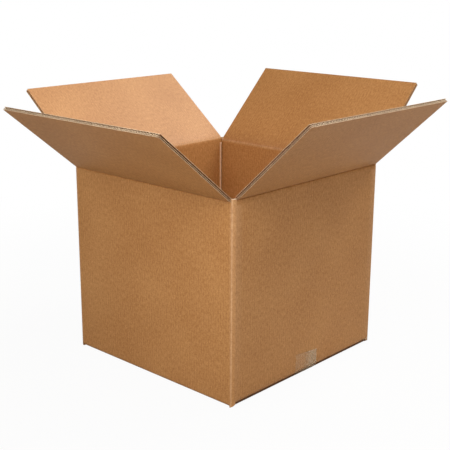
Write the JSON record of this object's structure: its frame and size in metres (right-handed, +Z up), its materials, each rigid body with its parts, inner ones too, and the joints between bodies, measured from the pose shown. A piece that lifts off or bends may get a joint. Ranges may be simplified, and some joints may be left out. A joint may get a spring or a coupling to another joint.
{
  "type": "open cardboard box",
  "caption": "Open corrugated cardboard box: square body folded from one sheet, taped floor, and top flaps hinged at their scores to fold out or shut.",
  "frame": {"origin": "centre of the underside, where the box stands on the floor", "axes": "+Z up, +X out of the right wall across the floor seam's end, -Y out of the front wall"},
  "size_m": [0.8153, 0.814, 0.5861],
  "materials": {
    "kraft_board": "matt brown kraft liner",
    "clear_tape": "clear glossy film tape"
  },
  "bodies": {
    "body": {"box_body": "kraft_board", "floor_tape": "clear_tape"},
    "front_flap": {"top_flap_front": "kraft_board"},
    "right_flap": {"top_flap_right": "kraft_board"},
    "back_flap": {"top_flap_back": "kraft_board"},
    "left_flap": {"top_flap_left": "kraft_board"}
  },
  "joints": [
    {"name": "front_flap_fold", "type": "hinge", "parent": "body", "child": "front_flap", "pos_m": [0, -0.2331, 0.4188], "axis": [1, 0, 0], "range_deg": [-141, 69]},
    {"name": "right_flap_fold", "type": "hinge", "parent": "body", "child": "right_flap", "pos_m": [0.2311, 0, 0.4241], "axis": [0, 1, 0], "range_deg": [-137, 73]},
    {"name": "back_flap_fold", "type": "hinge", "parent": "body", "child": "back_flap", "pos_m": [0, 0.2331, 0.4188], "axis": [-1, 0, 0], "range_deg": [-135, 75]},
    {"name": "left_flap_fold", "type": "hinge", "parent": "body", "child": "left_flap", "pos_m": [-0.2311, 0, 0.4241], "axis": [0, -1, 0], "range_deg": [-141, 69]}
  ]
}
